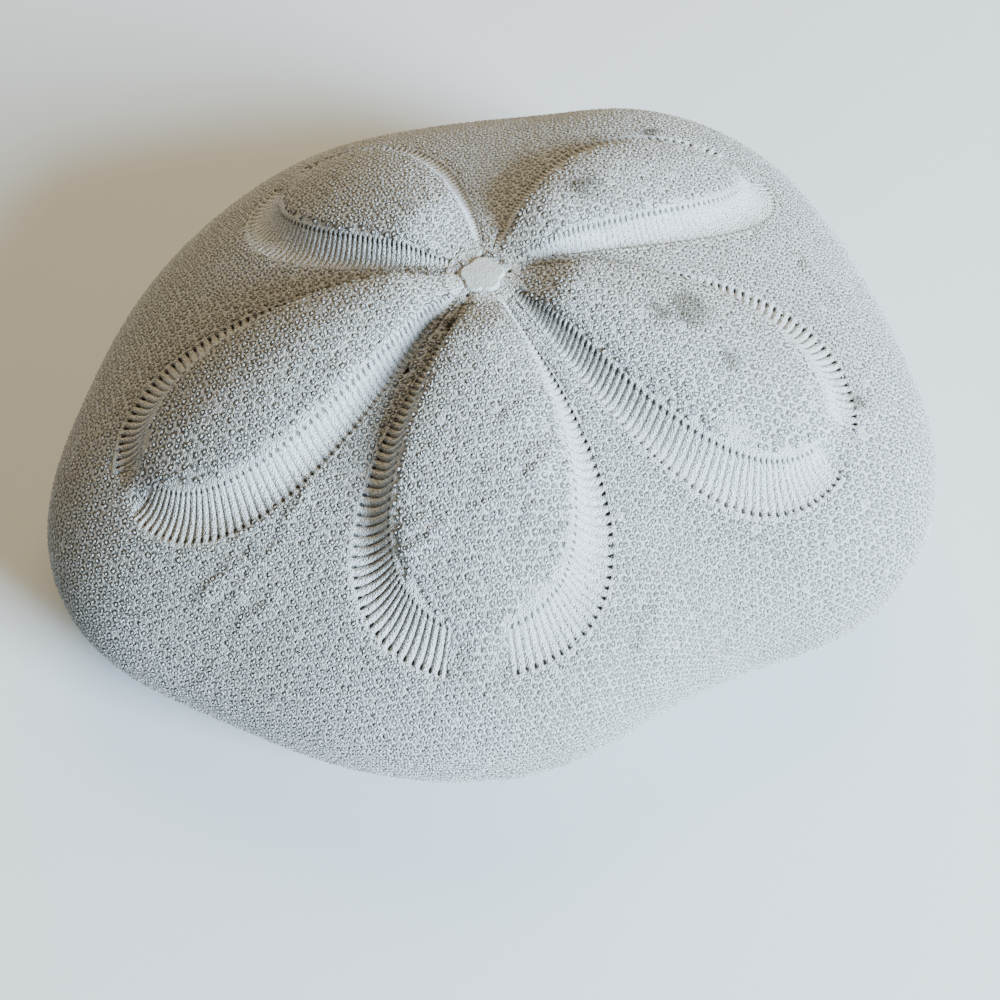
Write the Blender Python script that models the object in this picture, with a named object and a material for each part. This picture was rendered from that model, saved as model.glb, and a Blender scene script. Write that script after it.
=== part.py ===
"""Sea biscuit: the bleached shell of a swollen, five-petalled sand dollar, resting on its mouth side.

One hollow-free solid. The upper side is a dome with five swollen petals round a small top plate.
Each petal is edged by two sunken pore bands. The margin is thick and round, the seat is a flat
ring, and the underside rises to the mouth, with five food grooves and a vent near the margin.
"""
import bpy
import numpy as np

MM = 0.001

# Dome, in millimetres. The apex is the origin of the plan until the end.
APEX_HEIGHT = 49.4
MARGIN_HEIGHT = 15.5
MARGIN_HEIGHT_TO_RIGHT = 1.0
MARGIN_HEIGHT_TO_BACK = -1.8
DOME_POWER = 1.25
SIDE_POWER = 0.46
SIDE_POWER_TO_RIGHT = -0.05
SIDE_POWER_TO_BACK = -0.09
APEX_ROUNDING = 0.08

# Petals, in order round the apex: front, right, back right, back left, left.
PETAL_DIRECTION = np.radians((-91.5, -23.2, 45.8, 132.4, 203.6))
PETAL_LENGTH = np.array((46.5, 49.3, 47.8, 43.1, 51.7))
PETAL_HALF_WIDTH = np.array((22.6, 19.9, 16.8, 18.3, 19.6))
PETAL_TIP_FULLNESS = np.array((1.59, 1.27, 1.19, 1.06, 1.39))
PETAL_BEND = np.array((-1.6, -0.6, -7.0, -0.7, -0.7))
PETAL_RISE = 4.6
PETAL_RIM_SHARE = 0.7
PETAL_START = 2.5
PETAL_START_RUN = 10.0

# Reach of the margin from the apex, along each lobe and midway to the next one.
LOBE_DIRECTION = np.radians((-91.5, -22.4, 50.2, 131.3, 202.6))
REACH_AT_PETAL = (52.8, 63.5, 64.1, 58.0, 65.7)
REACH_BETWEEN = (47.6, 59.2, 54.2, 59.1, 54.5)
REACH_BLEND = 14.0
MIDDLE_REACH = 58.0

# Pore bands along both edges of each petal.
BAND_WIDTH = 5.0
BAND_AT_TIP = 4.4
BAND_DEPTH = 0.75
BAND_END_GAP = 3.4

# Top plate.
PLATE_RADIUS = 3.0
PLATE_RISE = 0.35

# Underside.
SEAT_OUTER = 0.76
SEAT_INNER = 0.66
HOLLOW_RISE = 7.0
MOUTH_RADIUS = 5.4
MOUTH_DEPTH = 5.0
GROOVE_DEPTH = 0.9
GROOVE_HALF_WIDTH = 1.9
VENT_DIRECTION = np.radians(11.3)
VENT_PLACE = 0.852
VENT_RADIUS = 2.9
VENT_DEPTH = 2.2

# Mesh lines: rings on the dome, on the round margin and under the shell.
DOME_RINGS = 33
MARGIN_RINGS = 8
UNDER_RINGS = 8
FIELD_STEPS = 3
BAND_STEPS = (0.3, 0.65, 1.0)
BETWEEN_STEPS = 3


def smooth_step(x):
    """Zero to one with level ends, as x goes from zero to one."""
    x = np.clip(x, 0.0, 1.0)
    return x * x * (3.0 - 2.0 * x)


def middle_directions(directions):
    """Directions midway between each of the five and the next one round."""
    following = np.roll(directions, -1)
    following[-1] += 2.0 * np.pi
    return (directions + following) / 2.0


def margin_reach(turn):
    """Distance from the apex line to the margin: ten reaches blended by bell-shaped weights."""
    reach = np.zeros_like(turn)
    total = np.zeros_like(turn)
    directions = np.concatenate([LOBE_DIRECTION, middle_directions(LOBE_DIRECTION)])
    for direction, length in zip(directions, REACH_AT_PETAL + REACH_BETWEEN):
        weight = np.exp(REACH_BLEND * (np.cos(turn - direction) - 1.0))
        reach += weight * length
        total += weight
    return reach / total


def margin_height(turn):
    """Height of the widest line of the shell."""
    lean = MARGIN_HEIGHT_TO_RIGHT * np.cos(turn) + MARGIN_HEIGHT_TO_BACK * np.sin(turn)
    return MARGIN_HEIGHT + lean


def petal_shape(share, fullness):
    """Half width of a petal over its nominal half width, at a share of its length."""
    angle = np.arccos(1.0 - 2.0 * np.clip(share, 0.0, 1.0))
    return np.sin(angle) * np.sin(angle / 2.0) ** fullness


def petal_place(x, y, petal):
    """Distance along the petal's axis and signed distance beside it."""
    direction = PETAL_DIRECTION[petal]
    along = x * np.cos(direction) + y * np.sin(direction)
    beside = y * np.cos(direction) - x * np.sin(direction)
    bend = PETAL_BEND[petal] * (along / PETAL_LENGTH[petal]) ** 2
    return along, beside - bend


def band_place(along, beside, petal):
    """Place across the pore band: zero on its inner row, one on its outer row.

    The rows are two nested leaf curves. The value is found by halving, as the share between them
    whose leaf curve passes through the point.
    """
    low = np.full_like(along, -3.2)
    high = np.full_like(along, 1.6)
    peak = petal_shape(0.72, PETAL_TIP_FULLNESS[petal])
    inner_width = PETAL_HALF_WIDTH[petal] - BAND_WIDTH / peak
    inner_length = PETAL_LENGTH[petal] - BAND_AT_TIP
    for _ in range(18):
        guess = (low + high) / 2.0
        width = inner_width + guess * (PETAL_HALF_WIDTH[petal] - inner_width)
        length = inner_length + guess * BAND_AT_TIP
        leaf = width * petal_shape(along / length, PETAL_TIP_FULLNESS[petal])
        inside = np.abs(beside) < leaf
        high = np.where(inside, guess, high)
        low = np.where(inside, low, guess)
    return (low + high) / 2.0


def petal_relief(x, y):
    """Height of the swollen petals and of their pore bands above the plain dome."""
    relief = np.zeros_like(x)
    for petal in range(5):
        along, beside = petal_place(x, y, petal)
        across = band_place(along, beside, petal)
        share = np.clip(along / PETAL_LENGTH[petal], 0.0, 1.0)
        swell = np.maximum(np.sin(np.pi * share ** 0.85), 0.0) ** 0.6
        crown = 1.0 - (1.0 - PETAL_RIM_SHARE) * np.exp(np.minimum(across, 0.0))
        fall = (1.0 - np.clip(across, 0.0, 1.0)) ** 1.9
        start = smooth_step((np.hypot(x, y) - PETAL_START) / PETAL_START_RUN)
        raised = PETAL_RISE * swell * crown * fall * start
        sunk = np.sin(np.pi * np.clip(across, 0.0, 1.0)) * smooth_step(along / 16.0)
        sunk *= smooth_step(np.abs(beside) / BAND_END_GAP)
        relief += np.where(along > 0.0, raised - BAND_DEPTH * sunk, 0.0)
    return relief


def dome_height(radius, turn):
    """Height of the upper side at a distance and direction from the apex line."""
    share = np.clip(radius / margin_reach(turn), 0.0, 1.0)
    rounded = np.sqrt(share ** 2 + APEX_ROUNDING ** 2) - APEX_ROUNDING
    rounded /= np.sqrt(1.0 + APEX_ROUNDING ** 2) - APEX_ROUNDING
    lean = SIDE_POWER_TO_RIGHT * np.cos(turn) + SIDE_POWER_TO_BACK * np.sin(turn)
    fullness = np.maximum(1.0 - rounded ** DOME_POWER, 0.0) ** (SIDE_POWER + lean)
    low = margin_height(turn)
    plain = low + (APEX_HEIGHT - low) * fullness
    plate = PLATE_RISE * smooth_step((PLATE_RADIUS + 0.6 - radius) / 0.8)
    return plain + plate + petal_relief(radius * np.cos(turn), radius * np.sin(turn))


def under_height(radius, turn):
    """Height of the underside inside the seat: a shallow rise, food grooves and the mouth."""
    share = np.clip(radius / (SEAT_INNER * margin_reach(turn)), 0.0, 1.0)
    rise = HOLLOW_RISE * smooth_step(1.0 - share)
    x = radius * np.cos(turn)
    y = radius * np.sin(turn)
    fade = smooth_step((1.0 - share) / 0.25)
    for petal in range(5):
        direction = PETAL_DIRECTION[petal]
        along = x * np.cos(direction) + y * np.sin(direction)
        beside = y * np.cos(direction) - x * np.sin(direction)
        cut = GROOVE_DEPTH * np.exp(-(beside / GROOVE_HALF_WIDTH) ** 2)
        rise += np.where(along > 0.0, cut * fade, 0.0)
    mouth = MOUTH_DEPTH * smooth_step((MOUTH_RADIUS + 0.8 - radius) / 2.0)
    return rise + mouth


def vent_rise(x, y):
    """Depth of the round vent cut up into the lower margin."""
    reach = margin_reach(np.array([VENT_DIRECTION]))[0] * VENT_PLACE
    away = np.hypot(x - reach * np.cos(VENT_DIRECTION), y - reach * np.sin(VENT_DIRECTION))
    return VENT_DEPTH * smooth_step((VENT_RADIUS + 0.5 - away) / 1.4)


def dome_ring_shares():
    """Shares of the reach at which the dome's rings lie, evenly spaced along the slope."""
    share = 1.0 - np.linspace(1.0, 0.0, 4000) ** 3
    height = (APEX_HEIGHT - MARGIN_HEIGHT) * (1.0 - share ** DOME_POWER) ** SIDE_POWER
    step = np.hypot(np.diff(share) * MIDDLE_REACH, np.diff(height))
    length = np.concatenate([[0.0], np.cumsum(step)])
    wanted = np.linspace(0.0, length[-1], DOME_RINGS + 1)
    shares = np.interp(wanted, length, share)
    shares[-1] = 1.0
    return shares[1:]


def band_edges(petal, share):
    """Half angles of a petal's inner and outer pore rows, and of its bend, at a share of the reach."""
    length = PETAL_LENGTH[petal]
    fullness = PETAL_TIP_FULLNESS[petal]
    along = np.array([np.clip(share * REACH_AT_PETAL[petal], 7.0, 0.72 * length)])
    outer = PETAL_HALF_WIDTH[petal] * petal_shape(along / length, fullness)
    inner = PETAL_HALF_WIDTH[petal] - BAND_WIDTH / petal_shape(0.72, fullness)
    inner = inner * petal_shape(along / (length - BAND_AT_TIP), fullness)
    bend = PETAL_BEND[petal] * (along / length) ** 2
    return np.arctan2(inner, along)[0], np.arctan2(outer, along)[0], np.arctan2(bend, along)[0]


def column_directions(share):
    """Directions of the mesh columns at a share of the reach, following the petals' pore bands."""
    middles = middle_directions(PETAL_DIRECTION)
    before = np.roll(middles, 1)
    before[0] -= 2.0 * np.pi
    turns = []
    for petal in range(5):
        inner, outer, bend = band_edges(petal, share)
        for side in (-1.0, 1.0):
            edge = before[petal] if side < 0.0 else middles[petal]
            half = abs(edge - PETAL_DIRECTION[petal])
            shift = side * bend
            at_inner = inner + shift
            at_outer = min(outer + shift, 0.93 * half)
            at_inner = min(at_inner, at_outer - 0.02)
            offsets = [shift + (at_inner - shift) * i / FIELD_STEPS for i in range(FIELD_STEPS)]
            offsets += [at_inner]
            offsets += [at_inner + (at_outer - at_inner) * i for i in BAND_STEPS]
            space = (half - at_outer) / BETWEEN_STEPS
            offsets += [at_outer + space * i for i in range(1, BETWEEN_STEPS + 1)]
            offsets = np.array(offsets)
            even = half * np.arange(len(offsets)) / (len(offsets) - 1)
            blend = smooth_step(np.array([(share * MIDDLE_REACH - PLATE_RADIUS) / 8.0]))[0]
            offsets = even + (offsets - even) * blend
            if side < 0.0:
                turns.append(PETAL_DIRECTION[petal] - offsets[-2:0:-1])
            else:
                turns.append(PETAL_DIRECTION[petal] + offsets)
    return np.concatenate(turns)


def shell_rings():
    """Rings of points from the top plate, over the dome and the margin, to the mouth."""
    rings = []
    for share in dome_ring_shares():
        if share * MIDDLE_REACH < PLATE_RADIUS:
            continue
        turn = column_directions(share)
        radius = share * margin_reach(turn)
        rings.append((radius, turn, dome_height(radius, turn)))
    turn = column_directions(1.0)
    reach = margin_reach(turn)
    for step in range(1, MARGIN_RINGS + 1):
        angle = 0.5 * np.pi * step / MARGIN_RINGS
        radius = reach * (1.0 - (1.0 - SEAT_OUTER) * (1.0 - np.cos(angle)))
        height = margin_height(turn) * (1.0 - np.sin(angle))
        if step == MARGIN_RINGS:
            height = np.zeros_like(radius)
        else:
            height = height + vent_rise(radius * np.cos(turn), radius * np.sin(turn))
        rings.append((radius, turn, height))
    rings.append((reach * SEAT_INNER, turn, np.zeros_like(reach)))
    even = np.linspace(turn[0], turn[0] + 2.0 * np.pi, len(turn), endpoint=False)
    for step in range(1, UNDER_RINGS):
        part = step / UNDER_RINGS
        here = turn + (even - turn) * part
        radius = SEAT_INNER * margin_reach(here) * (1.0 - part) + (MOUTH_RADIUS + 1.0) * part
        rings.append((radius, here, under_height(radius, here)))
    for radius in (MOUTH_RADIUS + 1.0, MOUTH_RADIUS - 0.2, MOUTH_RADIUS - 1.3):
        ring = np.full_like(even, radius)
        rings.append((ring, even, under_height(ring, even)))
    return rings


def shell_mesh():
    """Joins the rings into one closed surface, with a fan on the top plate and one in the mouth."""
    rings = shell_rings()
    count = len(rings[0][1])
    points = [np.array([[0.0, 0.0, APEX_HEIGHT + PLATE_RISE + 0.15]])]
    for radius, turn, height in rings:
        points.append(np.stack([radius * np.cos(turn), radius * np.sin(turn), height], axis=1))
    roof = under_height(np.zeros(1), np.zeros(1))[0]
    points.append(np.array([[0.0, 0.0, roof + 0.3]]))
    points = np.concatenate(points)
    low = points.min(axis=0)
    high = points.max(axis=0)
    points -= np.array([(low[0] + high[0]) / 2.0, (low[1] + high[1]) / 2.0, low[2]])
    faces = []
    for column in range(count):
        following = (column + 1) % count
        faces.append((0, 1 + column, 1 + following))
        for ring in range(len(rings) - 1):
            upper = 1 + ring * count
            lower = upper + count
            faces.append((upper + column, lower + column, lower + following, upper + following))
        last = 1 + (len(rings) - 1) * count
        faces.append((last + column, len(points) - 1, last + following))
    return points * MM, faces


def shell_material():
    """Bleached lime: pale warm grey and matt."""
    material = bpy.data.materials.new("bleached_shell")
    material.use_nodes = True
    shader = material.node_tree.nodes["Principled BSDF"]
    shader.inputs["Base Color"].default_value = (0.66, 0.64, 0.60, 1.0)
    shader.inputs["Roughness"].default_value = 0.8
    shader.inputs["Metallic"].default_value = 0.0
    return material


for old in list(bpy.data.objects):
    bpy.data.objects.remove(old, do_unlink=True)

points, faces = shell_mesh()
mesh = bpy.data.meshes.new("shell")
mesh.from_pydata(points.tolist(), [], faces)
mesh.update()
mesh.materials.append(shell_material())
mesh.shade_smooth()
shell = bpy.data.objects.new("shell", mesh)
bpy.context.scene.collection.objects.link(shell)
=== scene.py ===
"""A bleached sea biscuit on a pale floor, seen from above its front petal."""

import bpy
import numpy as np
from mathutils import Matrix, Vector


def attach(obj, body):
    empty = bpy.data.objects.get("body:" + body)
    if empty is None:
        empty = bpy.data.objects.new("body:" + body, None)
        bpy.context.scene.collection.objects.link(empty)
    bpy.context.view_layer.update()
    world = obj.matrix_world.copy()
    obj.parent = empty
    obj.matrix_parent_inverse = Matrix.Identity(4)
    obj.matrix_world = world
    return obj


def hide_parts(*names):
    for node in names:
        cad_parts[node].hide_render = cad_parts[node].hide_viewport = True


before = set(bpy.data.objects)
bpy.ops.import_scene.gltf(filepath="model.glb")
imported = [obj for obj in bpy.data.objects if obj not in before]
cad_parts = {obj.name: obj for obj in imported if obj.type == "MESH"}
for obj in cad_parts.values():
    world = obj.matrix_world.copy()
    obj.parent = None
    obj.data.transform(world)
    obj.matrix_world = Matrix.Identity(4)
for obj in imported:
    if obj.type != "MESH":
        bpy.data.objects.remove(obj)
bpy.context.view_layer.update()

MM = 0.001
FULL_TURN = 2.0 * np.pi

# Form of the shell, as in the solid: millimetres, from the apex line, -Y towards the front petal.

APEX_HEIGHT = 49.4
MARGIN_HEIGHT = 15.5
MARGIN_HEIGHT_TO_RIGHT = 1.0
MARGIN_HEIGHT_TO_BACK = -1.8
DOME_POWER = 1.25
SIDE_POWER = 0.46
SIDE_POWER_TO_RIGHT = -0.05
SIDE_POWER_TO_BACK = -0.09
APEX_ROUNDING = 0.08

PETAL_DIRECTION = np.radians((-91.5, -23.2, 45.8, 132.4, 203.6))
PETAL_LENGTH = np.array((46.5, 49.3, 47.8, 43.1, 51.7))
PETAL_HALF_WIDTH = np.array((22.6, 19.9, 16.8, 18.3, 19.6))
PETAL_TIP_FULLNESS = np.array((1.59, 1.27, 1.19, 1.06, 1.39))
PETAL_BEND = np.array((-1.6, -0.6, -7.0, -0.7, -0.7))
PETAL_RISE = 4.6
PETAL_RIM_SHARE = 0.7
PETAL_START = 2.5
PETAL_START_RUN = 10.0

LOBE_DIRECTION = np.radians((-91.5, -22.4, 50.2, 131.3, 202.6))
REACH_AT_PETAL = (52.8, 63.5, 64.1, 58.0, 65.7)
REACH_BETWEEN = (47.6, 59.2, 54.2, 59.1, 54.5)
REACH_BLEND = 14.0
MIDDLE_REACH = 58.0

BAND_WIDTH = 5.0
BAND_AT_TIP = 4.4
BAND_DEPTH = 0.75
BAND_END_GAP = 3.4

PLATE_RADIUS = 3.0
PLATE_RISE = 0.35

SEAT_OUTER = 0.76
SEAT_INNER = 0.66
HOLLOW_RISE = 7.0
MOUTH_RADIUS = 5.4
MOUTH_DEPTH = 5.0
GROOVE_DEPTH = 0.9
GROOVE_HALF_WIDTH = 1.9
VENT_DIRECTION = np.radians(11.3)
VENT_PLACE = 0.852
VENT_RADIUS = 2.9
VENT_DEPTH = 2.2

# The top plate's middle, the reach of its sides and the ring of pores round it.
PLATE_AT = (-0.5, -0.9)
PLATE_SIDE = 2.35
PORE_RING = 3.45

# Groups of wrinkles: plan place, lean in degrees and number.
WRINKLES = (
    (-8.6, -33.6, 35.0, 6), (3.6, -27.8, 35.0, 6), (6.0, -20.0, 30.0, 4), (2.8, -31.5, 35.0, 5),
    (-28.4, -31.0, 40.0, 4), (-33.5, -35.5, 38.0, 5), (-36.5, -43.0, 36.0, 5), (44.0, 7.5, -60.0, 4),
    (17.4, -41.5, 60.0, 4), (7.6, -34.5, 35.0, 3), (-19.0, -16.0, 40.0, 3), (24.0, -20.0, -30.0, 2),
)
WRINKLE_SCATTER = (2.6, 1.7)
WRINKLE_HALF_LENGTH = (1.6, 4.2)
WRINKLE_HALF_WIDTH = (0.58, 0.85)
WRINKLE_LIFT = (0.22, 0.36)

# Brown-grey stains and worn-smooth places: plan place and radius.
STAINS = (
    (24.4, -7.6, 2.5), (29.2, -13.6, 1.3), (21.0, -8.6, 1.6), (13.5, 12.0, 2.2),
    (24.4, 35.0, 1.6), (46.8, -12.4, 1.3), (-4.0, -8.0, 1.2),
)
WORN = ((8.8, -38.8, 2.6), (29.2, -22.8, 3.0), (4.4, -40.8, 2.6))

# How far the bare shell lies under the tubercles, and under the pore bands.
SKIN = 0.2
BAND_SKIN = 1.1


def smooth_step(x):
    """Zero to one with level ends: 3x^2 - 2x^3."""
    x = np.clip(x, 0.0, 1.0)
    return x * x * (3.0 - 2.0 * x)


def middle_directions(directions):
    """Half way between each direction and the next one round."""
    following = np.roll(directions, -1)
    following[-1] += FULL_TURN
    return (directions + following) / 2.0


def margin_reach(turn):
    """Ten reaches averaged with weights e^(k (cos of the angle to each - 1))."""
    reach = np.zeros_like(turn)
    total = np.zeros_like(turn)
    directions = np.concatenate([LOBE_DIRECTION, middle_directions(LOBE_DIRECTION)])
    for direction, length in zip(directions, REACH_AT_PETAL + REACH_BETWEEN):
        weight = np.exp(REACH_BLEND * (np.cos(turn - direction) - 1.0))
        reach = reach + weight * length
        total = total + weight
    return reach / total


def margin_height(turn):
    """A constant plus a lean in cosine and sine of the direction."""
    return MARGIN_HEIGHT + MARGIN_HEIGHT_TO_RIGHT * np.cos(turn) + MARGIN_HEIGHT_TO_BACK * np.sin(turn)


def petal_shape(share, fullness):
    """Leaf curve: with angle = arccos(1 - 2 share), sin(angle) times sin(angle/2)^fullness."""
    angle = np.arccos(1.0 - 2.0 * np.clip(share, 0.0, 1.0))
    return np.sin(angle) * np.sin(angle / 2.0) ** fullness


def petal_place(x, y, petal):
    """Plan point turned into the petal's axis, less the axis's parabolic bend."""
    direction = PETAL_DIRECTION[petal]
    along = x * np.cos(direction) + y * np.sin(direction)
    beside = y * np.cos(direction) - x * np.sin(direction)
    return along, beside - PETAL_BEND[petal] * (along / PETAL_LENGTH[petal]) ** 2


def inner_leaf(petal):
    """Half width and length of the leaf curve that the inner pore row follows."""
    width = PETAL_HALF_WIDTH[petal] - BAND_WIDTH / petal_shape(0.72, PETAL_TIP_FULLNESS[petal])
    return width, PETAL_LENGTH[petal] - BAND_AT_TIP


def band_place(along, beside, petal):
    """Share between the inner and outer leaf curves of the curve through a point, by halving."""
    low = np.full_like(along, -3.2)
    high = np.full_like(along, 1.6)
    inner_width, inner_length = inner_leaf(petal)
    for halving in range(14):
        guess = (low + high) / 2.0
        width = inner_width + guess * (PETAL_HALF_WIDTH[petal] - inner_width)
        length = inner_length + guess * BAND_AT_TIP
        leaf = width * petal_shape(along / length, PETAL_TIP_FULLNESS[petal])
        inside = np.abs(beside) < leaf
        high = np.where(inside, guess, high)
        low = np.where(inside, low, guess)
    return (low + high) / 2.0


def petal_relief(x, y):
    """Swell of each petal, falling across its pore band, less the band's half-sine trough."""
    relief = np.zeros_like(x)
    for petal in range(5):
        along, beside = petal_place(x, y, petal)
        near = (along > 0.0) & (along < PETAL_LENGTH[petal]) & (np.abs(beside) < PETAL_HALF_WIDTH[petal])
        along, beside = along[near], beside[near]
        across = band_place(along, beside, petal)
        share = np.clip(along / PETAL_LENGTH[petal], 0.0, 1.0)
        swell = np.maximum(np.sin(np.pi * share ** 0.85), 0.0) ** 0.6
        crown = 1.0 - (1.0 - PETAL_RIM_SHARE) * np.exp(np.minimum(across, 0.0))
        fall = (1.0 - np.clip(across, 0.0, 1.0)) ** 1.9
        start = smooth_step((np.hypot(x[near], y[near]) - PETAL_START) / PETAL_START_RUN)
        sunk = np.sin(np.pi * np.clip(across, 0.0, 1.0)) * smooth_step(along / 16.0)
        sunk = sunk * smooth_step(np.abs(beside) / BAND_END_GAP)
        relief[near] += PETAL_RISE * swell * crown * fall * start - BAND_DEPTH * sunk
    return relief


def wrinkles(x, y):
    """Low short wavy ridges in seeded groups: Gaussian across, a smooth fall to both ends."""
    source = np.random.default_rng(31)
    lift = np.zeros_like(x)
    for centre_x, centre_y, lean, count in WRINKLES:
        for ridge in range(count):
            place = np.array([centre_x, centre_y]) + source.normal(size=2) * WRINKLE_SCATTER
            angle = np.radians(lean + source.normal() * 10.0)
            half = source.uniform(*WRINKLE_HALF_LENGTH)
            width = source.uniform(*WRINKLE_HALF_WIDTH)
            along = (x - place[0]) * np.cos(angle) + (y - place[1]) * np.sin(angle)
            beside = (y - place[1]) * np.cos(angle) - (x - place[0]) * np.sin(angle)
            beside = beside + 0.3 * np.sin(along * 1.3)
            bell = np.exp(-(beside / width) ** 2) * smooth_step(1.2 - np.abs(along) / half)
            lift = lift + source.uniform(*WRINKLE_LIFT) * bell
    return lift


def dome_height(radius, turn):
    """Margin height plus a superellipse (1 - share^p)^q, plus the top plate and the petals."""
    share = np.clip(radius / margin_reach(turn), 0.0, 1.0)
    rounded = np.sqrt(share ** 2 + APEX_ROUNDING ** 2) - APEX_ROUNDING
    rounded = rounded / (np.sqrt(1.0 + APEX_ROUNDING ** 2) - APEX_ROUNDING)
    lean = SIDE_POWER_TO_RIGHT * np.cos(turn) + SIDE_POWER_TO_BACK * np.sin(turn)
    fullness = np.maximum(1.0 - rounded ** DOME_POWER, 0.0) ** (SIDE_POWER + lean)
    low = margin_height(turn)
    plate = PLATE_RISE * smooth_step((PLATE_RADIUS + 0.6 - radius) / 0.8)
    petals = petal_relief(radius * np.cos(turn), radius * np.sin(turn))
    return low + (APEX_HEIGHT - low) * fullness + plate + petals


def under_height(radius, turn):
    """Smooth rise from the seat to the middle, Gaussian food grooves, and the mouth's step."""
    share = np.clip(radius / (SEAT_INNER * margin_reach(turn)), 0.0, 1.0)
    rise = HOLLOW_RISE * smooth_step(1.0 - share)
    fade = smooth_step((1.0 - share) / 0.25)
    for direction in PETAL_DIRECTION:
        along = radius * np.cos(turn - direction)
        beside = radius * np.sin(turn - direction)
        rise = rise + (along > 0.0) * fade * GROOVE_DEPTH * np.exp(-(beside / GROOVE_HALF_WIDTH) ** 2)
    return rise + MOUTH_DEPTH * smooth_step((MOUTH_RADIUS + 0.8 - radius) / 2.0)


def vent_rise(x, y):
    """Smooth-edged round step cut upwards at the vent."""
    reach = margin_reach(np.array([VENT_DIRECTION]))[0] * VENT_PLACE
    away = np.hypot(x - reach * np.cos(VENT_DIRECTION), y - reach * np.sin(VENT_DIRECTION))
    return VENT_DEPTH * smooth_step((VENT_RADIUS + 0.5 - away) / 1.4)


# The margin's middle in plan, which the finished pieces are centred on.
round_turn = np.linspace(0.0, FULL_TURN, 3600)
round_x = margin_reach(round_turn) * np.cos(round_turn)
round_y = margin_reach(round_turn) * np.sin(round_turn)
PLAN_X = (np.max(round_x) + np.min(round_x)) / 2.0
PLAN_Y = (np.max(round_y) + np.min(round_y)) / 2.0


def meridian(q):
    """Share of the reach along a meridian, by a power curve to the widest line and then an arc.

    q is 0 at the apex, 1 at the widest line, 2 and 2.25 at the seat's edges and 3 at the mouth.
    """
    top = 1.0 - (1.0 - np.clip(q, 0.0, 1.0)) ** 2.2
    arc = 1.0 - (1.0 - SEAT_OUTER) * (1.0 - np.cos(0.5 * np.pi * np.clip(q - 1.0, 0.0, 1.0)))
    seat = SEAT_OUTER + (SEAT_INNER - SEAT_OUTER) * np.clip((q - 2.0) / 0.25, 0.0, 1.0)
    return np.where(q <= 1.0, top, np.where(q <= 2.0, arc, seat))


def shell_point(q, turn):
    """Point of the shell at meridian place q and direction, in millimetres from the apex line."""
    q, turn = np.broadcast_arrays(np.asarray(q, float), np.asarray(turn, float))
    reach = margin_reach(turn)
    radius = meridian(q) * reach
    inward = np.clip((q - 2.25) / 0.75, 0.0, 1.0)
    radius = radius * (1.0 - inward) + (MOUTH_RADIUS + 1.0) * inward
    radius = radius * (1.0 - np.clip(q - 3.0, 0.0, 1.0))
    height = np.zeros_like(radius)
    top = q <= 1.0
    height[top] = dome_height(radius[top], turn[top])
    side = (q > 1.0) & (q <= 2.0)
    arc = 0.5 * np.pi * (q[side] - 1.0)
    x, y = radius[side] * np.cos(turn[side]), radius[side] * np.sin(turn[side])
    height[side] = margin_height(turn[side]) * (1.0 - np.sin(arc)) + vent_rise(x, y)
    under = q > 2.25
    height[under] = under_height(radius[under], turn[under])
    return np.stack([radius * np.cos(turn), radius * np.sin(turn), height], axis=-1)


def wrinkled_point(q, turn):
    """Point of the shell lifted by the wrinkles, fading out above the widest line."""
    point = shell_point(q, turn)
    lift = wrinkles(point[..., 0].ravel(), point[..., 1].ravel()).reshape(point.shape[:-1])
    point[..., 2] = point[..., 2] + lift * smooth_step((0.98 - q) / 0.1)
    return point


def unit(vectors):
    """Vectors over their lengths."""
    return vectors / np.maximum(np.linalg.norm(vectors, axis=-1, keepdims=True), 1e-9)


def outward(q, turn):
    """Outward normals: cross product of small steps round and down the meridian."""
    down = shell_point(q + 0.004, turn) - shell_point(q - 0.004, turn)
    across = shell_point(q, turn + 0.004) - shell_point(q, turn - 0.004)
    return unit(np.cross(down, across))


# Length along the middle meridian, in millimetres, for each meridian place q.
middle_q = np.linspace(0.0, 3.0, 3001)
middle_inward = np.clip((middle_q - 2.25) / 0.75, 0.0, 1.0)
middle_radius = meridian(middle_q) * MIDDLE_REACH
middle_radius = middle_radius * (1.0 - middle_inward) + (MOUTH_RADIUS + 1.0) * middle_inward
middle_share = np.minimum(middle_radius / MIDDLE_REACH, 1.0)
middle_dome = MARGIN_HEIGHT + (APEX_HEIGHT - MARGIN_HEIGHT) * (1.0 - middle_share ** DOME_POWER) ** SIDE_POWER
middle_side = MARGIN_HEIGHT * (1.0 - np.sin(0.5 * np.pi * np.clip(middle_q - 1.0, 0.0, 1.0)))
middle_height = np.where(middle_q > 1.0, middle_side, middle_dome)
middle_steps = np.hypot(np.diff(middle_radius), np.diff(middle_height))
middle_length = np.concatenate([[0.0], np.cumsum(middle_steps)])


def q_at(length):
    """Meridian place at a length from the apex along the middle meridian."""
    return np.interp(length, middle_length, middle_q)


def length_at(q):
    """Length from the apex along the middle meridian at a meridian place."""
    return np.interp(q, middle_q, middle_length)


# Meshes.


def finished(points):
    """Row frame, in metres: plan centred on the origin, and nothing below the floor."""
    points = points - np.array([PLAN_X, PLAN_Y, 0.0])
    points[:, 2] = np.maximum(points[:, 2], 0.0)
    return points * MM


def stained(points):
    """Stain at each point: the spots, broken up by smooth noise."""
    broken = smooth_step(0.5 + 0.9 * wave_noise(points, 1.9, 8, 2))
    return spots(points[:, 0], points[:, 1], STAINS) * (0.25 + 0.75 * broken) * (points[:, 2] > 10.0)


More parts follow.
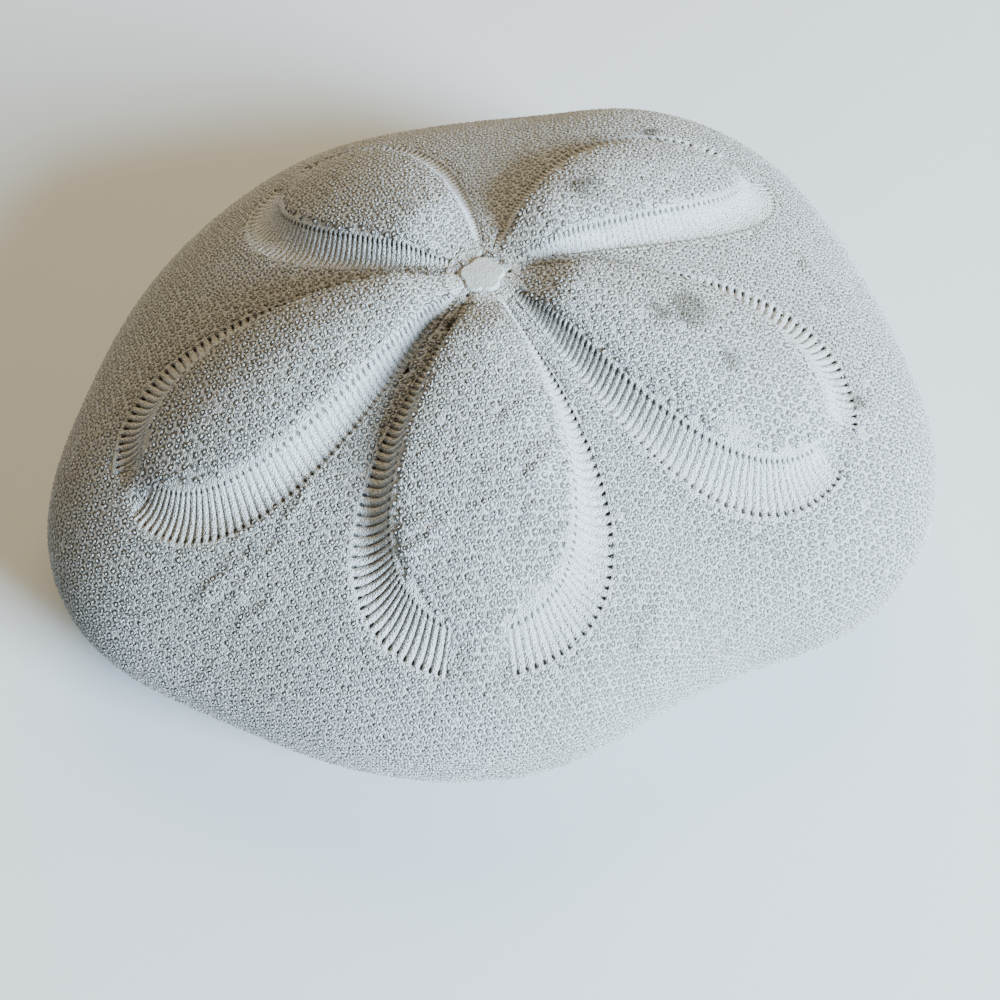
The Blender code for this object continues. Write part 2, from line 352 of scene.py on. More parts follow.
def new_piece(name, points, faces, material, shade_and_highlight, tint):
    """Puts points and faces into a smooth mesh that rides on the shell.

    Point attributes: the first is painted shade, 1 in rings and pores, and below 0 it is painted
    highlight on bosses and ridges. tint is above 0 in a stain and below 0 on the smooth plate.
    """
    mesh = bpy.data.meshes.new(name)
    sizes = np.array([f.shape[1] for f in faces]).repeat([len(f) for f in faces])
    corners = np.concatenate([f.ravel() for f in faces])
    mesh.vertices.add(len(points))
    mesh.vertices.foreach_set("co", finished(points).astype(np.float32).ravel())
    mesh.loops.add(len(corners))
    mesh.loops.foreach_set("vertex_index", corners.astype(np.int32))
    mesh.polygons.add(len(sizes))
    starts = np.concatenate([[0], np.cumsum(sizes)[:-1]])
    mesh.polygons.foreach_set("loop_start", starts.astype(np.int32))
    mesh.update(calc_edges=True)
    for key, values in (("shade_and_highlight", shade_and_highlight), ("tint", tint + stained(points))):
        layer = mesh.attributes.new(key, "FLOAT", "POINT")
        layer.data.foreach_set("value", np.asarray(values, np.float32))
    mesh.materials.append(material)
    mesh.shade_smooth()
    piece = bpy.data.objects.new(name, mesh)
    bpy.context.scene.collection.objects.link(piece)
    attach(piece, "root")
    return piece


def grid_faces(rows, columns, closed, flip=False):
    """Quads of a grid of rows and columns, closed round the columns if wanted."""
    row = np.arange(rows - 1)[:, None]
    column = np.arange(columns if closed else columns - 1)[None, :]
    following = (column + 1) % columns
    here = row * columns + column
    there = row * columns + following
    quads = np.stack([here, here + columns, there + columns, there], axis=-1).reshape(-1, 4)
    return quads[:, ::-1] if flip else quads


def wave_noise(points, scale, seed, octaves=3):
    """Smooth noise between about -1 and 1: sums of sines along seeded directions."""
    source = np.random.default_rng(seed)
    total = np.zeros(len(points))
    weight = 1.0
    for octave in range(octaves):
        for wave in range(5):
            direction = source.normal(size=3)
            direction = direction / np.linalg.norm(direction)
            phase = points @ direction * scale * source.uniform(0.7, 1.4)
            total = total + weight * np.sin(phase + source.uniform(0.0, 6.28))
        scale = scale * 2.1
        weight = weight * 0.55
    return total / 3.6


def bare_shell(material):
    """The closed shell under its tubercles: rings of shell points, moved inwards by the skin."""
    dome_rings = q_at(np.linspace(3.0, length_at(1.0), 74))
    low_rings = np.linspace(1.0, 3.0, 44)[1:]
    mouth_rings = (3.1, 3.2, 3.35, 3.6)
    q = np.concatenate([dome_rings, low_rings, mouth_rings])
    columns = 220
    turn = np.arange(columns) * FULL_TURN / columns
    points = shell_point(q[:, None], turn[None, :])
    normal = outward(q[:, None], turn[None, :])
    clear = off_bands(points[..., 0].ravel(), points[..., 1].ravel()).reshape(points.shape[:2])
    plate = np.hypot(points[..., 0] - PLATE_AT[0], points[..., 1] - PLATE_AT[1]) < 4.5
    skin = np.where(((clear < 0.4) | plate) & (q[:, None] < 1.0), BAND_SKIN, SKIN)
    points = points - normal * skin[..., None]
    seat = (q > 1.9) & (q < 2.35)
    points[seat, :, 2] = np.maximum(points[seat, :, 2], SKIN)
    top = np.array([[0.0, 0.0, dome_height(np.zeros(1), np.zeros(1))[0] - BAND_SKIN]])
    roof = np.array([[0.0, 0.0, under_height(np.zeros(1), np.zeros(1))[0] + SKIN]])
    count = points.shape[0] * columns
    points = np.concatenate([points.reshape(-1, 3), top, roof])
    first = np.arange(columns)
    following = (first + 1) % columns
    last = count - columns + first
    fan_top = np.stack([np.full(columns, count), first, following], axis=1)
    fan_roof = np.stack([last, np.full(columns, count + 1), count - columns + following], axis=1)
    # Painted shade: a light share on the bare shell, which lies under the tubercles and bands, and full shade
    # in the mouth.
    shade_and_highlight = np.concatenate([np.repeat(np.where(q > 3.05, 1.0, 0.35), columns), [0.35, 1.0]])
    faces = [grid_faces(len(q), columns, True), fan_top, fan_roof]
    return new_piece("bare_shell", points, faces, material, shade_and_highlight, np.zeros(len(points)))


# Tubercles: heights over the shell's surface, in millimetres.

BOSS_HEIGHT = 0.04
RING_DEPTH = -0.21
LAND_HEIGHT = -0.07
EDGE_DROP = -0.34


def cells(point, corner, present, whole, ring_out, ring_in, seed):
    """Six-sided cells, each a land, a sunken ring and a boss, from centres and their six corners.

    point is (n, 3), corner (n, 6, 3). A ring point is centre + f (corner - centre) plus a height
    along the normal, with the six reaches evened out. whole says for each corner that all the
    cells round it are there, and present how much of a tubercle each cell has.
    """
    count = len(point)
    side = np.roll(corner, -1, axis=1) - point[:, None]
    normal = unit(np.cross(corner - point[:, None], side).sum(axis=1))
    source = np.random.default_rng(seed)
    size = 1.0 + 0.14 * source.normal(size=count).clip(-2, 2)
    present = present * np.where(source.uniform(size=count) < 0.03, 0.6, 1.0)
    rise = present * (1.0 + 0.25 * source.normal(size=count).clip(-2, 2))
    reach = np.linalg.norm(corner - point[:, None], axis=2, keepdims=True)
    even = reach.mean(axis=1, keepdims=True) / reach
    spoke = (corner - point[:, None]) * (0.35 + 0.65 * even)
    up = normal[:, None]
    land = corner + up * np.where(whole, LAND_HEIGHT, EDGE_DROP)[..., None]
    moat_height = LAND_HEIGHT + (RING_DEPTH - LAND_HEIGHT) * present
    moat = point[:, None] + spoke * (ring_out * size)[:, None, None] + up * moat_height[:, None, None]
    layers = [land, moat]
    # Painted shade in each sunken ring, as strong as the cell's tubercle; none on the land.
    shade_and_highlight = [np.zeros((count, 6)), np.repeat(present[:, None], 6, axis=1)]
    if ring_in:
        boss_height = LAND_HEIGHT + (BOSS_HEIGHT - LAND_HEIGHT) * 0.75 * rise
        boss = point[:, None] + spoke * (ring_in * size)[:, None, None] + up * boss_height[:, None, None]
        layers.append(boss)
        # Painted highlight round the boss's top.
        shade_and_highlight.append(np.repeat(-0.2 * present[:, None], 6, axis=1))
    tip = point + normal * (LAND_HEIGHT + (BOSS_HEIGHT - LAND_HEIGHT) * rise)[:, None]
    # Painted highlight, strongest at each boss's tip.
    return layers, tip, shade_and_highlight + [-present]


def cell_mesh(layers, tip, shade_and_highlight, chosen):
    """Joins the layers of the chosen cells: quads between layers and six triangles to each tip."""
    layers = [layer[chosen] for layer in layers]
    count = len(layers[0])
    points = np.concatenate([layer.reshape(-1, 3) for layer in layers] + [tip[chosen]])
    shade = np.concatenate([h[chosen].ravel() for h in shade_and_highlight])
    k = np.arange(6)
    base = np.arange(count)[:, None] * 6
    following = base + (k + 1) % 6
    here = base + k
    faces = []
    for i in range(len(layers) - 1):
        outer, inner = i * count * 6, (i + 1) * count * 6
        quads = [outer + here, outer + following, inner + following, inner + here]
        faces.append(np.stack(quads, axis=-1).reshape(-1, 4))
    inner = (len(layers) - 1) * count * 6
    top = len(layers) * count * 6 + np.arange(count)[:, None] + 0 * k
    faces.append(np.stack([inner + here, inner + following, top], axis=-1).reshape(-1, 3))
    return points, faces, shade


def lattice(columns, rows, wrap, place, jitter, seed):
    """Centres and corners of a lattice of six-sided cells.

    place turns lattice numbers (i, j) into shell places (q, turn). Each centre is moved by up to
    jitter of a pitch, and a corner lies at the mean of the three centres round it.
    """
    source = np.random.default_rng(seed)
    i, j = np.meshgrid(np.arange(columns), np.arange(-1, rows + 1), indexing="xy")
    shift = source.uniform(-jitter, jitter, size=(2,) + i.shape)
    u = i + shift[0] - 0.5 * shift[1]
    v = j + shift[1]
    if wrap:
        def right(values, step):
            """Values of the next column round, a whole round further where it wraps."""
            moved = np.roll(values, -step, axis=1)
            if step > 0:
                moved[:, columns - step:] += columns
            else:
                moved[:, :-step] -= columns
            return moved
    else:
        def right(values, step):
            """Values of the next column, carried on evenly past the edge."""
            padded = np.pad(values, ((0, 0), (2, 2)), mode="reflect", reflect_type="odd")
            return padded[:, 2 + step:2 + step + columns]
    # The six neighbours of a lattice place, in turn round it.
    steps = ((1, 0), (0, 1), (-1, 1), (-1, 0), (0, -1), (1, -1))
    near_u, near_v = [], []
    for column_step, row_step in steps:
        beside_u = right(u, column_step) if column_step else u
        if wrap:
            beside_v = np.roll(v, -column_step, axis=1)
        else:
            beside_v = right(v, column_step) if column_step else v
        near_u.append(beside_u[1 + row_step:rows + 1 + row_step])
        near_v.append(beside_v[1 + row_step:rows + 1 + row_step])
    near_u = np.stack(near_u, axis=-1)
    near_v = np.stack(near_v, axis=-1)
    u, v = u[1:rows + 1], v[1:rows + 1]
    corner_u = (u[..., None] + near_u + np.roll(near_u, -1, axis=-1)) / 3.0
    corner_v = (v[..., None] + near_v + np.roll(near_v, -1, axis=-1)) / 3.0
    centre = place(u.ravel(), v.ravel())
    corner = place(corner_u.reshape(-1, 6), corner_v.reshape(-1, 6))
    return centre, corner


TOP_PITCH = 1.05
TOP_END = 84.0
LOW_COLUMNS = 300
LOW_STEP = 0.98
LOW_ROWS = 22
UNDER_PITCH = 1.42


def top_place(u, v):
    """Plane lattice laid on the dome: distance from the apex becomes length down the meridian."""
    x = TOP_PITCH * (u + 0.5 * v - 142.0)
    y = TOP_PITCH * 0.866 * (v - 94.0)
    return q_at(np.hypot(x, y)), np.arctan2(y, x)


def low_place(u, v):
    """Rows of cells round the lower margin and over the seat."""
    return q_at(TOP_END + LOW_STEP * v), FULL_TURN * (u + 0.5 * v) / LOW_COLUMNS


def under_place(u, v):
    """Plane lattice laid on the underside in plan, turned into meridian place and direction."""
    x = UNDER_PITCH * (u + 0.5 * v - 56.0)
    y = UNDER_PITCH * 0.866 * (v - 37.0)
    turn = np.arctan2(y, x)
    edge = SEAT_INNER * margin_reach(turn)
    inward = (edge - np.hypot(x, y)) / (edge - MOUTH_RADIUS - 1.0)
    return np.maximum(2.25 + 0.75 * inward, 2.0), turn


def off_bands(x, y):
    """How far a plan point is clear of every pore band, in shares of a band's width.

    It is the place between the leaf curves, less the nearer edge, with the petal's tip left open.
    """
    clear = np.full_like(x, 9.0)
    for petal in range(5):
        along, beside = petal_place(x, y, petal)
        near = (along > 0.07 * PETAL_LENGTH[petal]) & (along < PETAL_LENGTH[petal] + 2.0)
        near &= np.abs(beside) < PETAL_HALF_WIDTH[petal]
        across = band_place(along[near], beside[near], petal)
        gap = np.where(across < 0.5, -across, across - 1.0)
        open_end = np.abs(beside[near]) < 0.168 * PETAL_HALF_WIDTH[petal]
        open_end &= along[near] > 0.7 * PETAL_LENGTH[petal]
        gap = np.where(open_end, 9.0, gap)
        clear[near] = np.minimum(clear[near], gap)
    return clear


def spots(x, y, places):
    """Zero to one inside a few round spots: e to the minus cube of the share of the radius."""
    inside = np.zeros_like(x)
    for centre_x, centre_y, radius in places:
        away = ((x - centre_x) ** 2 + (y - centre_y) ** 2) / radius ** 2
        inside = np.maximum(inside, np.exp(-away ** 1.5))
    return inside


def round_plate(x, y):
    """Distance outside the five-sided plate's edge and distance from the nearest pore at its corners."""
    x, y = x - PLATE_AT[0], y - PLATE_AT[1]
    corners = middle_directions(PETAL_DIRECTION)
    five = np.max(np.cos(np.arctan2(y, x)[..., None] - corners), axis=-1)
    outside = np.hypot(x, y) - PLATE_SIDE * np.maximum(five, 0.84) / 0.84
    away = np.hypot(x[..., None] - PORE_RING * np.cos(corners), y[..., None] - PORE_RING * np.sin(corners))
    return outside, away.min(axis=-1)


def tubercle_fields():
    """Every tubercle cell on the shell, as three lattices, each with a mask of where it may be.

    Smooth noise and the worn places fade the tubercles out.
    """
    fields = []
    for name, columns, rows, wrap, place, jitter, rings, seed in (
        ("top", 200, 189, False, top_place, 0.36, (0.40, 0.19), 11),
        ("low", LOW_COLUMNS, LOW_ROWS, True, low_place, 0.30, (0.42, 0.0), 13),
        ("under", 113, 75, False, under_place, 0.26, (0.42, 0.0), 14),
    ):
        (q, turn), (corner_q, corner_turn) = lattice(columns, rows, wrap, place, jitter, seed)
        if name == "top":
            keep = q < q_at(TOP_END + 0.75)
        elif name == "under":
            keep = (q > 2.255) & (q < 2.97)
        else:
            keep = q < 2.285
        q, turn, corner_q, corner_turn = q[keep], turn[keep], corner_q[keep], corner_turn[keep]
        point = wrinkled_point(q, turn)
        if name == "top":
            outside, away = round_plate(point[:, 0], point[:, 1])
            keep = (off_bands(point[:, 0], point[:, 1]) > 0.02) & (outside > 0.42) & (away > 0.85)
        elif name == "under":
            away = np.full(len(q), 9.0)
            radius = np.hypot(point[:, 0], point[:, 1])
            for direction in PETAL_DIRECTION:
                beside = np.abs(radius * np.sin(turn - direction))
                away = np.where(np.cos(turn - direction) > 0.0, np.minimum(away, beside), away)
            keep = away > 1.0
        else:
            reach = margin_reach(np.array([VENT_DIRECTION]))[0] * VENT_PLACE
            vent_x, vent_y = reach * np.cos(VENT_DIRECTION), reach * np.sin(VENT_DIRECTION)
            away = np.hypot(point[:, 0] - vent_x, point[:, 1] - vent_y)
            keep = away > VENT_RADIUS + 0.4
        turn, point = turn[keep], point[keep]
        corner_q, corner_turn = corner_q[keep], corner_turn[keep]
        corner = wrinkled_point(corner_q, corner_turn)
        key = np.round(corner.reshape(-1, 3) * 50.0).astype(np.int64)
        kinds, index, counts = np.unique(key, axis=0, return_inverse=True, return_counts=True)
        whole = (counts[index.ravel()] >= 3).reshape(corner.shape[:2])
        whole |= np.abs(length_at(corner_q) - TOP_END) < 1.6
        worn = wave_noise(point, 0.16, 21, 2)
        present = np.clip(1.05 - 0.6 * smooth_step((worn - 0.9) / 0.8), 0.55, 1.0)
        present = present * (1.0 - 0.55 * spots(point[:, 0], point[:, 1], WORN))
        layers, tip, shade_and_highlight = cells(point, corner, present, whole, rings[0], rings[1], seed)
        fields.append((name, point, turn, layers, tip, shade_and_highlight))
    return fields


def tubercle_pieces(material):
    """One mesh for each fifth of the upper shell, by nearest petal, and one for all that is lower."""
    names = ("front", "right", "back_right", "back_left", "left")
    parts = {name: [] for name in names + ("underside",)}
    for field, point, turn, layers, tip, shade_and_highlight in tubercle_fields():
        if field in ("low", "under"):
            parts["underside"].append(cell_mesh(layers, tip, shade_and_highlight, np.ones(len(tip), bool)))
            continue
        away = np.cos(turn[:, None] - PETAL_DIRECTION[None, :])
        owner = away.argmax(axis=1)
        for k, name in enumerate(names):
            parts[name].append(cell_mesh(layers, tip, shade_and_highlight, owner == k))
    for name, meshes in parts.items():
        points, faces, shade, start = [], [], [], 0
        for cell_points, cell_faces, cell_shade in meshes:
            points.append(cell_points)
            shade.append(cell_shade)
            faces += [face + start for face in cell_faces]
            start += len(cell_points)
        points = np.concatenate(points)
        new_piece("tubercles_" + name, points, faces, material, np.concatenate(shade), np.zeros(len(points)))


# Pore bands: samples over one groove's step, and places across a band from its inner row to its outer.

GROOVE_SAMPLES = (0.0, 0.26, 0.42, 0.5, 0.58, 0.74)
ACROSS = np.array((
    -0.26, -0.21, 0.03, 0.075, 0.098, 0.118, 0.138, 0.165, 0.21, 0.3,
    0.45, 0.6, 0.75, 0.85, 0.91, 0.95, 0.98, 1.01, 1.15, 1.2,
))
PORE_PLACE = 0.118
GROOVE_CUT = 0.34

# Groove strength of each petal's two bands, clockwise side first: front, right, back right, back left, left.
BAND_STRENGTH = ((1.0, 0.72), (0.6, 0.95), (0.4, 0.8), (0.75, 0.5), (0.95, 0.78))


def pore_band(petal, side):
    """One pore band: grooves at even steps along the outer row, each running square to it.

    The outer leaf curve is walked by length. From each place a line runs inwards along the normal
    to the inner leaf curve. Grooves are narrow bell curves along the walk, with a round pore at
    the inner end and a slit at the outer end.
    """
    fullness = PETAL_TIP_FULLNESS[petal]
    length, width = PETAL_LENGTH[petal], PETAL_HALF_WIDTH[petal]
    angle = np.linspace(0.55, 0.952 * np.pi, 1500)
    along = length * (1.0 - np.cos(angle)) / 2.0
    beside = width * np.sin(angle) * np.sin(angle / 2.0) ** fullness
    walk = np.concatenate([[0.0], np.cumsum(np.hypot(np.diff(along), np.diff(beside)))])
    pitch = 0.62 + 0.50 * smooth_step(walk / 34.0)
    number = np.concatenate([[0.0], np.cumsum(np.diff(walk) / pitch[1:])])
    total = int(number[-1])
    wanted = (np.arange(total)[:, None] + np.array(GROOVE_SAMPLES)[None, :]).ravel()
    wanted = np.concatenate([[-0.3], wanted, [total, total + 0.3]])
    steps = np.gradient(along) / np.gradient(number), np.gradient(beside) / np.gradient(number)
    beyond = np.minimum(wanted, 0.0) + np.maximum(wanted - number[-1], 0.0)
    end = np.where(wanted < 0.0, 0, -1)
    along = np.interp(wanted, number, along) + beyond * steps[0][end]
    beside = np.interp(wanted, number, beside) + beyond * steps[1][end]
    tangent = unit(np.stack([np.gradient(along), np.gradient(beside)], axis=1))
    inward = np.stack([tangent[:, 1], -tangent[:, 0]], axis=1)
    depth = np.linspace(0.0, 9.0, 46)
    probe_along = along[:, None] + inward[:, :1] * depth[None, :]
    probe_beside = beside[:, None] + inward[:, 1:] * depth[None, :]
    across = band_place(probe_along, np.abs(probe_beside), petal)
    across = np.where(probe_beside < 0.0, -3.0, across)
    crossing = (across > 0.0).cumprod(axis=1).sum(axis=1)
    crossing = np.clip(crossing, 1, len(depth) - 1)
    rows = np.arange(len(along))
    before, after = across[rows, crossing - 1], across[rows, crossing]
    part = np.clip(before / np.maximum(before - after, 1e-6), 0.0, 1.0)
    reach_in = np.minimum((crossing - 1 + part) * depth[1], 5.6)
    smooth = np.ones(13) / 13.0
    reach_in = np.convolve(np.pad(reach_in, 6, mode="edge"), smooth, mode="valid")
    place_along = along[:, None] + inward[:, :1] * reach_in[:, None] * (1.0 - ACROSS)[None, :]
    place_beside = beside[:, None] + inward[:, 1:] * reach_in[:, None] * (1.0 - ACROSS)[None, :]
    place_beside = side * place_beside + PETAL_BEND[petal] * (place_along / length) ** 2
    direction = PETAL_DIRECTION[petal]
    x = place_along * np.cos(direction) - place_beside * np.sin(direction)
    y = place_along * np.sin(direction) + place_beside * np.cos(direction)
    points = np.stack([x, y, dome_height(np.hypot(x, y), np.arctan2(y, x))], axis=-1)
    normal = unit(np.cross(np.gradient(points, axis=0), np.gradient(points, axis=1)))
    normal = normal * np.sign(normal[..., 2:])
    phase = (wanted - np.floor(wanted))[:, None]
    groove = np.exp(-((phase - 0.5) / 0.14) ** 2)
    run = smooth_step((ACROSS - 0.12) / 0.12) * smooth_step((1.01 - ACROSS) / 0.04)
    walked = np.interp(wanted, number, walk)[:, None]
    strength = BAND_STRENGTH[petal][side > 0.0] * (0.35 + 0.65 * smooth_step(walked / 18.0))
    cut = GROOVE_CUT * groove * run[None, :] * strength
    from_pore = (ACROSS - PORE_PLACE) * reach_in[:, None]
    pore = np.exp(-((phase - 0.5) / 0.21) ** 2) * np.exp(-(from_pore / 0.16) ** 2)
    slit_run = smooth_step((ACROSS - 0.85) / 0.06) * smooth_step((1.01 - ACROSS) / 0.03)
    slit = np.exp(-((phase - 0.5) / 0.19) ** 2) * slit_run
    ground = -0.08 - 0.2 * smooth_step((0.09 - ACROSS) / 0.06) - 0.2 * smooth_step((ACROSS - 1.0) / 0.04)
    height = ground[None, :] - cut - 0.34 * pore - 0.30 * slit
    edge = (ACROSS < -0.22) | (ACROSS > 1.17)
    height = np.where(edge[None, :], -0.45, height)
    height[0], height[-1] = -0.45, -0.45
    points = points + normal * height[..., None]
    # Painted shade in the grooves, pores and slits, and painted highlight on the ridges between the grooves;
    # the hidden edges get a light painted shade.
    shade_and_highlight = np.clip(0.62 * groove * run[None, :] * strength + 1.7 * pore + 0.72 * slit, 0.0, 1.0)
    shade_and_highlight = np.where(edge[None, :], 0.3, shade_and_highlight - 0.28 * (1.0 - shade_and_highlight) * run[None, :])
    faces = grid_faces(len(wanted), len(ACROSS), False, flip=side > 0)
    return points.reshape(-1, 3), faces, shade_and_highlight.ravel()


def pore_bands(material):
    """Both bands of all five petals in one mesh."""
    points, faces, shade, start = [], [], [], 0
    for petal in range(5):
        for side in (-1.0, 1.0):
            band_points, band_faces, band_shade = pore_band(petal, side)
            points.append(band_points)
            faces.append(band_faces + start)
            shade.append(band_shade)
            start += len(band_points)
    points = np.concatenate(points)
    return new_piece("pore_bands", points, faces, material, np.concatenate(shade), np.zeros(len(points)))


def top_plate(material):
    """The smooth five-sided plate at the apex, with a small pore off each of its corners.

    A disc of rings round the plate's middle follows the dome, steps up at the plate's edge, and
    sinks in a bell curve at each pore.
    """
    columns, rows = 110, 44
    turn = np.arange(columns) * FULL_TURN / columns
    radius = np.linspace(0.1, 4.8, rows)
    grid_r, grid_t = np.meshgrid(radius, turn, indexing="ij")
    x = PLATE_AT[0] + grid_r * np.cos(grid_t)
    y = PLATE_AT[1] + grid_r * np.sin(grid_t)
    outside, away = round_plate(x, y)
    plate = smooth_step((0.12 - outside) / 0.24)
    rim = np.exp(-((outside - 0.16) / 0.13) ** 2)
    reach = np.hypot(x, y)
    raised = PLATE_RISE * smooth_step((PLATE_RADIUS + 0.6 - reach) / 0.8)
    height = dome_height(reach, np.arctan2(y, x)) - raised
    pits = np.exp(-(away / 0.27) ** 2)
    flat = np.stack([x.ravel(), y.ravel(), 0 * x.ravel()], axis=1)
    grain = wave_noise(flat, 2.6, 5, 3).reshape(x.shape)
    swell = plate * (0.34 + 0.10 * np.cos(grid_t - 0.3) * grid_r / 2.5)
    height = height - 0.11 + swell - 0.12 * rim - 0.7 * pits + 0.03 * grain * (1.0 - 0.6 * plate)
    height[-1] -= 0.5
    points = np.stack([x, y, height], axis=-1).reshape(-1, 3)
    middle = np.array([[PLATE_AT[0], PLATE_AT[1], height[0].mean()]])
    first = np.arange(columns)
    fan = np.stack([np.full(columns, len(points)), first, (first + 1) % columns], axis=1)
    # Painted shade in the pores and in the low rim round the plate.
    shade = np.concatenate([np.clip(1.2 * pits + 0.42 * rim, 0.0, 1.0).ravel(), [0.0]])
    tint = np.concatenate([(-0.30 * plate).ravel(), [-0.30]])
    points = np.concatenate([points, middle])
    return new_piece("top_plate", points, [grid_faces(rows, columns, True), fan], material, shade, tint)


# Material.


class Value:
    """A socket whose sums and products add Math nodes."""

    def __init__(self, tree, socket):
        self.tree, self.socket = tree, socket

    def math(self, operation, *others, clamp=False):
        """One Math node on this value and the others."""
        inputs = {0: self.socket}
        for k, other in enumerate(others):
            inputs[k + 1] = other.socket if isinstance(other, Value) else other
        node = self.tree.node("ShaderNodeMath", {"operation": operation, "use_clamp": clamp}, inputs)
        return Value(self.tree, node.outputs[0])

    def __add__(self, other):
        """This value plus another."""
        return self.math("ADD", other)

    __radd__ = __add__

    def __mul__(self, other):
        """This value times another."""
        return self.math("MULTIPLY", other)

    __rmul__ = __mul__

    def __sub__(self, other):
        """This value less another."""
        return self.math("SUBTRACT", other)

    def __rsub__(self, other):
        """A number less this value."""
        return (self * -1.0) + other

    def step(self, low, high):
        """Smooth zero to one between two values."""
        inputs = {"Value": self.socket, "From Min": low, "From Max": high}
        node = self.tree.node("ShaderNodeMapRange", {"interpolation_type": "SMOOTHSTEP"}, inputs)
        return Value(self.tree, node.outputs["Result"])


class Tree:
    """A material's nodes, made one at a time from a type, settings and inputs."""

    def __init__(self, name):
        self.material = bpy.data.materials.new(name)
        self.material.use_nodes = True
        self.nodes = self.material.node_tree.nodes
        self.links = self.material.node_tree.links
        self.shader = self.nodes["Principled BSDF"]

    def node(self, kind, settings, inputs):
        """One node: its settings first, then values or links for its sockets."""
        node = self.nodes.new(kind)
        for key, value in settings.items():
            setattr(node, key, value)
        for key, value in inputs.items():
            self.set(node.inputs[key], value)
        return node

    def set(self, socket, value):
        """Links a socket or sets its value."""
        if isinstance(value, Value):
            value = value.socket
        if isinstance(value, bpy.types.NodeSocket):
            self.links.new(value, socket)
        else:
            socket.default_value = value

    def mix(self, factor, a, b):
        """Colour a to colour b by a factor."""
        node = self.node("ShaderNodeMix", {"data_type": "RGBA"}, {"Factor": factor})
        self.set(node.inputs[6], a)
        self.set(node.inputs[7], b)
        return node.outputs[2]

    def noise(self, scale, detail, roughness=0.5):
        """Noise on Object coordinates, in features per metre."""
        coordinates = self.node("ShaderNodeTexCoord", {}, {}).outputs["Object"]
        inputs = {"Vector": coordinates, "Scale": scale, "Detail": detail, "Roughness": roughness}
        return Value(self, self.node("ShaderNodeTexNoise", {}, inputs).outputs[0])

    def granules(self, scale):
        """Distance from scattered points on Object coordinates, for grains with painted shade in the gaps
        between them.
        """
        coordinates = self.node("ShaderNodeTexCoord", {}, {}).outputs["Object"]
        node = self.node("ShaderNodeTexVoronoi", {"feature": "F1"}, {"Vector": coordinates, "Scale": scale})
        return Value(self, node.outputs["Distance"])

    def attribute(self, name):
        """A point attribute of the mesh."""
        return Value(self, self.node("ShaderNodeAttribute", {"attribute_name": name}, {}).outputs["Fac"])


def bleached_lime():
    """Weathered lime: pale warm grey, tan in patches, with a fine grain, painted shade in rings, pores and
    grooves and painted highlight on bosses.

    Stains come by a positive tint and break up with the mottle. The plate has a negative tint,
    which greys it and takes most of its grain away.
    """
    tree = Tree("bleached_lime")
    shade_and_highlight = tree.attribute("shade_and_highlight")
    tint = tree.attribute("tint")
    patches = tree.noise(26.0, 3.0).step(0.40, 0.68)
    mottle = tree.noise(190.0, 4.0, 0.6)
    grain = tree.noise(2300.0, 3.0, 0.65)
    granules = tree.granules(4300.0)
    colour = tree.mix(patches, (0.63, 0.62, 0.60, 1.0), (0.54, 0.515, 0.47, 1.0))
    colour = tree.mix(mottle.step(0.35, 0.75) * 0.35, colour, (0.71, 0.705, 0.69, 1.0))
    colour = tree.mix(grain.step(0.42, 0.66) * 0.50, colour, (0.36, 0.345, 0.31, 1.0))
    # Painted shade in the low gaps between the grains.
    colour = tree.mix(granules.step(0.36, 0.60) * 0.50, colour, (0.30, 0.29, 0.26, 1.0))
    stain = (tint * mottle.step(0.28, 0.58) * 2.0).math("MINIMUM", 0.85)
    colour = tree.mix(stain, colour, (0.15, 0.13, 0.098, 1.0))
    smooth = (tint * -1.0).step(0.05, 0.2)
    colour = tree.mix(smooth * 0.4, colour, (0.34, 0.33, 0.305, 1.0))
    # Painted shade in rings, pores, grooves and the mouth, and a little on the bare shell.
    painted_shade = shade_and_highlight.step(0.22, 0.74)
    colour = tree.mix(painted_shade * 0.86, colour, (0.10, 0.093, 0.082, 1.0))
    # Painted highlight on the bosses' tops and on the ridges of the pore bands.
    colour = tree.mix((shade_and_highlight * -1.0).step(0.10, 0.8) * 0.75, colour, (0.88, 0.875, 0.86, 1.0))
    tree.set(tree.shader.inputs["Base Color"], colour)
    tree.set(tree.shader.inputs["Roughness"], 0.72 + mottle * 0.2)
    tree.set(tree.shader.inputs["Specular IOR Level"], 0.35)
    rough = (grain * 0.8 + tree.noise(900.0, 2.0) * 0.7 - granules * 0.9) * (1.0 - smooth * 0.8)
    bump = tree.node("ShaderNodeBump", {}, {"Strength": 1.0, "Distance": 0.00032, "Height": rough})
    tree.set(tree.shader.inputs["Normal"], bump.outputs[0])
    return tree.material


def floor_material():
    """Plain pale matt floor."""
    tree = Tree("pale_floor")
    tree.set(tree.shader.inputs["Base Color"], (0.62, 0.63, 0.62, 1.0))
    tree.set(tree.shader.inputs["Roughness"], 0.9)
    return tree.material


# Camera and light, with the camera as fitted to the photograph's outline.

CAMERA_ELEVATION = np.radians(56.03)
CAMERA_DISTANCE = 189.1
CAMERA_ROLL = np.radians(-2.2)
CAMERA_FOCUS = (0.63, -11.64, 15.0)
CAMERA_LENS_PIXELS = 1342.0


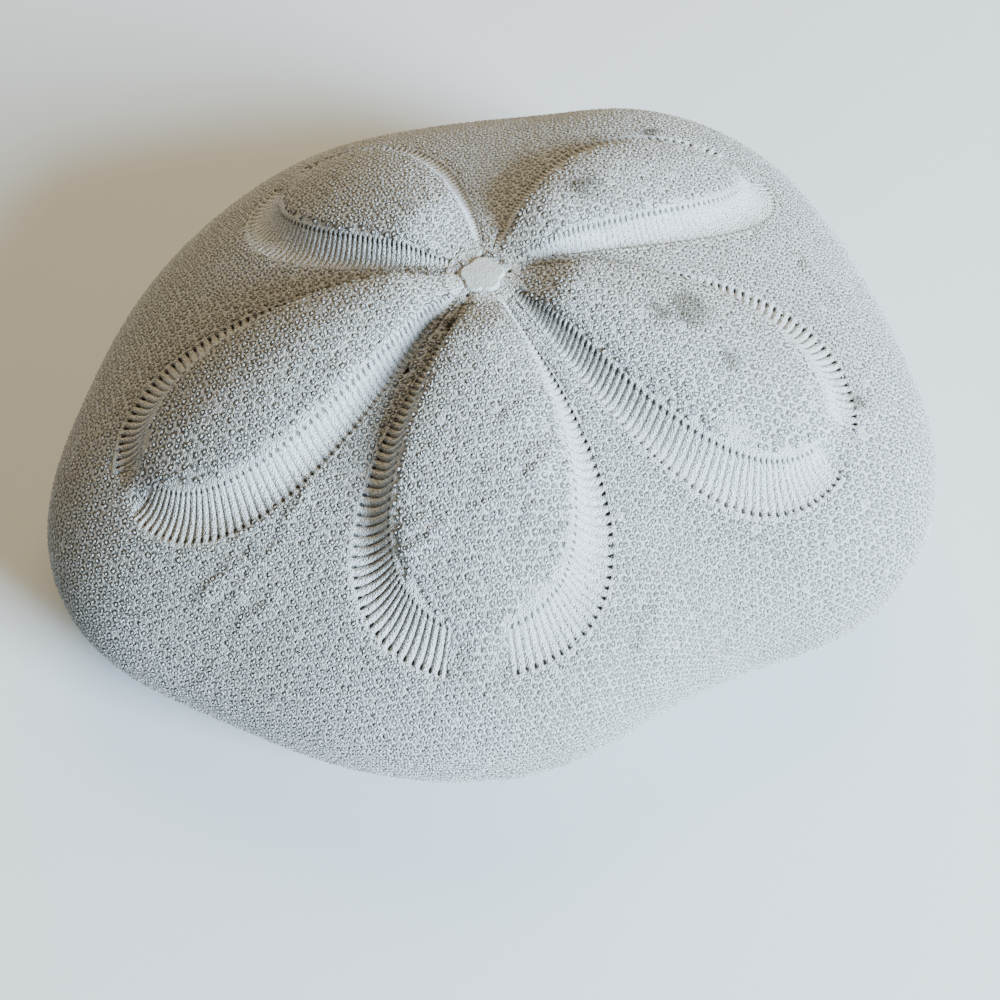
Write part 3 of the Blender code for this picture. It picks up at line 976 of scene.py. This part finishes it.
def add_camera():
    """Camera looking down along +Y on the front petal, as fitted to the photograph's outline."""
    back = Vector((0.0, -np.cos(CAMERA_ELEVATION), np.sin(CAMERA_ELEVATION)))
    level = Vector((1.0, 0.0, 0.0))
    raised = back.cross(level)
    right = level * np.cos(CAMERA_ROLL) + raised * np.sin(CAMERA_ROLL)
    up = back.cross(right)
    focus = Vector(CAMERA_FOCUS) - Vector((PLAN_X, PLAN_Y, 0.0))
    camera = bpy.data.cameras.new("camera")
    camera.sensor_width = 36.0
    camera.lens = 36.0 * CAMERA_LENS_PIXELS / 1000.0
    camera.clip_start = 0.01
    camera.clip_end = 10.0
    holder = bpy.data.objects.new("camera", camera)
    turned = Matrix((right, up, back)).transposed().to_4x4()
    turned.translation = (focus + back * CAMERA_DISTANCE) * MM
    holder.matrix_world = turned
    bpy.context.scene.collection.objects.link(holder)
    bpy.context.scene.camera = holder


def add_light(name, place, size, power, colour):
    """A square soft light that faces the shell."""
    lamp = bpy.data.lights.new(name, "AREA")
    lamp.size = size
    lamp.energy = power
    lamp.color = colour
    holder = bpy.data.objects.new(name, lamp)
    place = Vector(place)
    holder.location = place
    holder.rotation_mode = "QUATERNION"
    holder.rotation_quaternion = (place - Vector((0.0, 0.0, 0.02))).to_track_quat("Z", "Y")
    bpy.context.scene.collection.objects.link(holder)


def add_floor():
    """A level pale floor that rises behind the shell in a wide curve."""
    x = np.linspace(-1.5, 1.5, 31)
    t = np.linspace(-1.0, 1.6, 53)
    rise = np.clip(t - 0.7, 0.0, None)
    y = np.where(t < 0.7, t, 0.7 + 0.45 * np.sin(np.minimum(rise / 0.45, np.pi / 2.0)))
    curve = 0.45 * (1.0 - np.cos(np.minimum(rise / 0.45, np.pi / 2.0)))
    z = np.where(t < 0.7, 0.0, curve + np.maximum(rise - 0.707, 0.0))
    points = np.stack(np.broadcast_arrays(x[None, :], y[:, None], z[:, None]), axis=-1).reshape(-1, 3)
    mesh = bpy.data.meshes.new("floor")
    mesh.from_pydata(points.tolist(), [], grid_faces(53, 31, False, flip=True).tolist())
    mesh.update()
    mesh.materials.append(floor_material())
    mesh.shade_smooth()
    floor = bpy.data.objects.new("floor", mesh)
    bpy.context.scene.collection.objects.link(floor)


add_camera()
add_floor()
add_light("window", (0.64, -0.53, 0.345), 0.34, 58.5, (0.60, 0.80, 1.0))
add_light("room", (0.05, 0.55, 0.75), 0.8, 8.0, (1.0, 0.80, 0.47))
world = bpy.data.worlds.new("room_air")
world.use_nodes = True
world.node_tree.nodes["Background"].inputs["Color"].default_value = (0.92, 0.85, 0.73, 1.0)
world.node_tree.nodes["Background"].inputs["Strength"].default_value = 0.145
bpy.context.scene.world = world

lime = bleached_lime()
body = bare_shell(lime)
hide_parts("shell")
pore_bands(lime)
top_plate(lime)
tubercle_pieces(lime)
